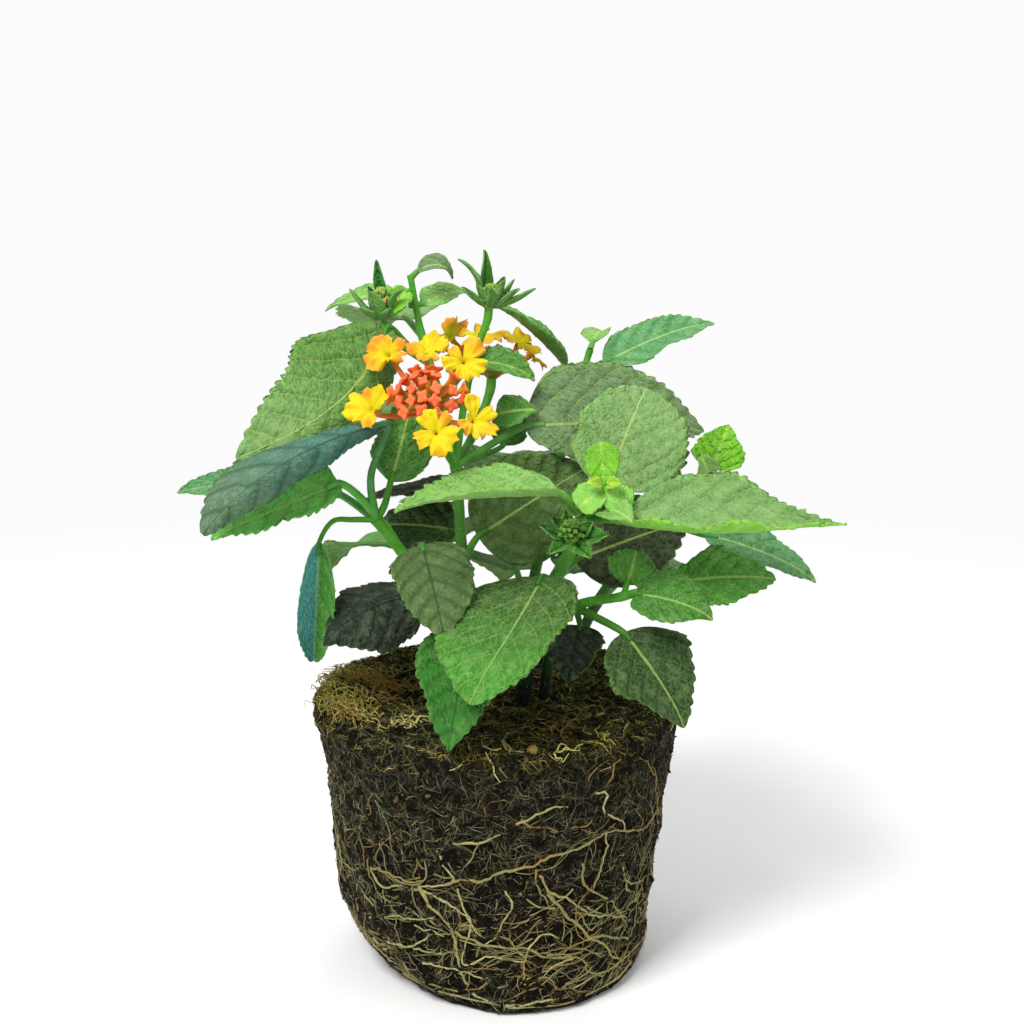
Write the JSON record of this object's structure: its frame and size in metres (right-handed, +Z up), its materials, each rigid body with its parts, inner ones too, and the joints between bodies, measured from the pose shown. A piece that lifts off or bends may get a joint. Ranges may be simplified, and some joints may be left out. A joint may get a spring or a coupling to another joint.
{
  "type": "lantana plant",
  "caption": "Young lantana lifted out of its pot: tapered root ball with a net of pale roots, leafy stems, open yellow-orange flower heads with coral buds, and heads in bud.",
  "frame": {"origin": "centre of the root ball's flat underside", "axes": "+Z up; -Y towards the plant's front, where the larger flower head leans out; +X to the right seen from the front"},
  "size_m": [0.1706, 0.123, 0.1967],
  "materials": {
    "peat": "moist fibrous peat, matt",
    "root": "pale woody root, matt",
    "leaf": "rough wrinkled leaf, low sheen",
    "petal_yellow": "soft petal, matt",
    "petal_orange": "soft petal, matt",
    "bud_coral": "soft bud, matt",
    "bud_green": "hairy young growth, matt"
  },
  "bodies": {
    "root": {"root_ball": "peat", "root_net": "root", "stem_main": "leaf", "shoot_left": "leaf", "shoot_low_left": "leaf", "shoot_right": "leaf", "shoot_side": "leaf", "shoot_far_right": "leaf", "shoot_back": "leaf", "shoot_rear_left": "leaf", "front_head_florets": "petal_yellow", "front_head_buds": "bud_coral", "rear_head_florets": "petal_orange", "rear_head_buds": "bud_coral", "bud_head_left": "bud_green", "bud_head_top": "bud_green", "bud_head_right": "bud_green"}
  },
  "joints": []
}
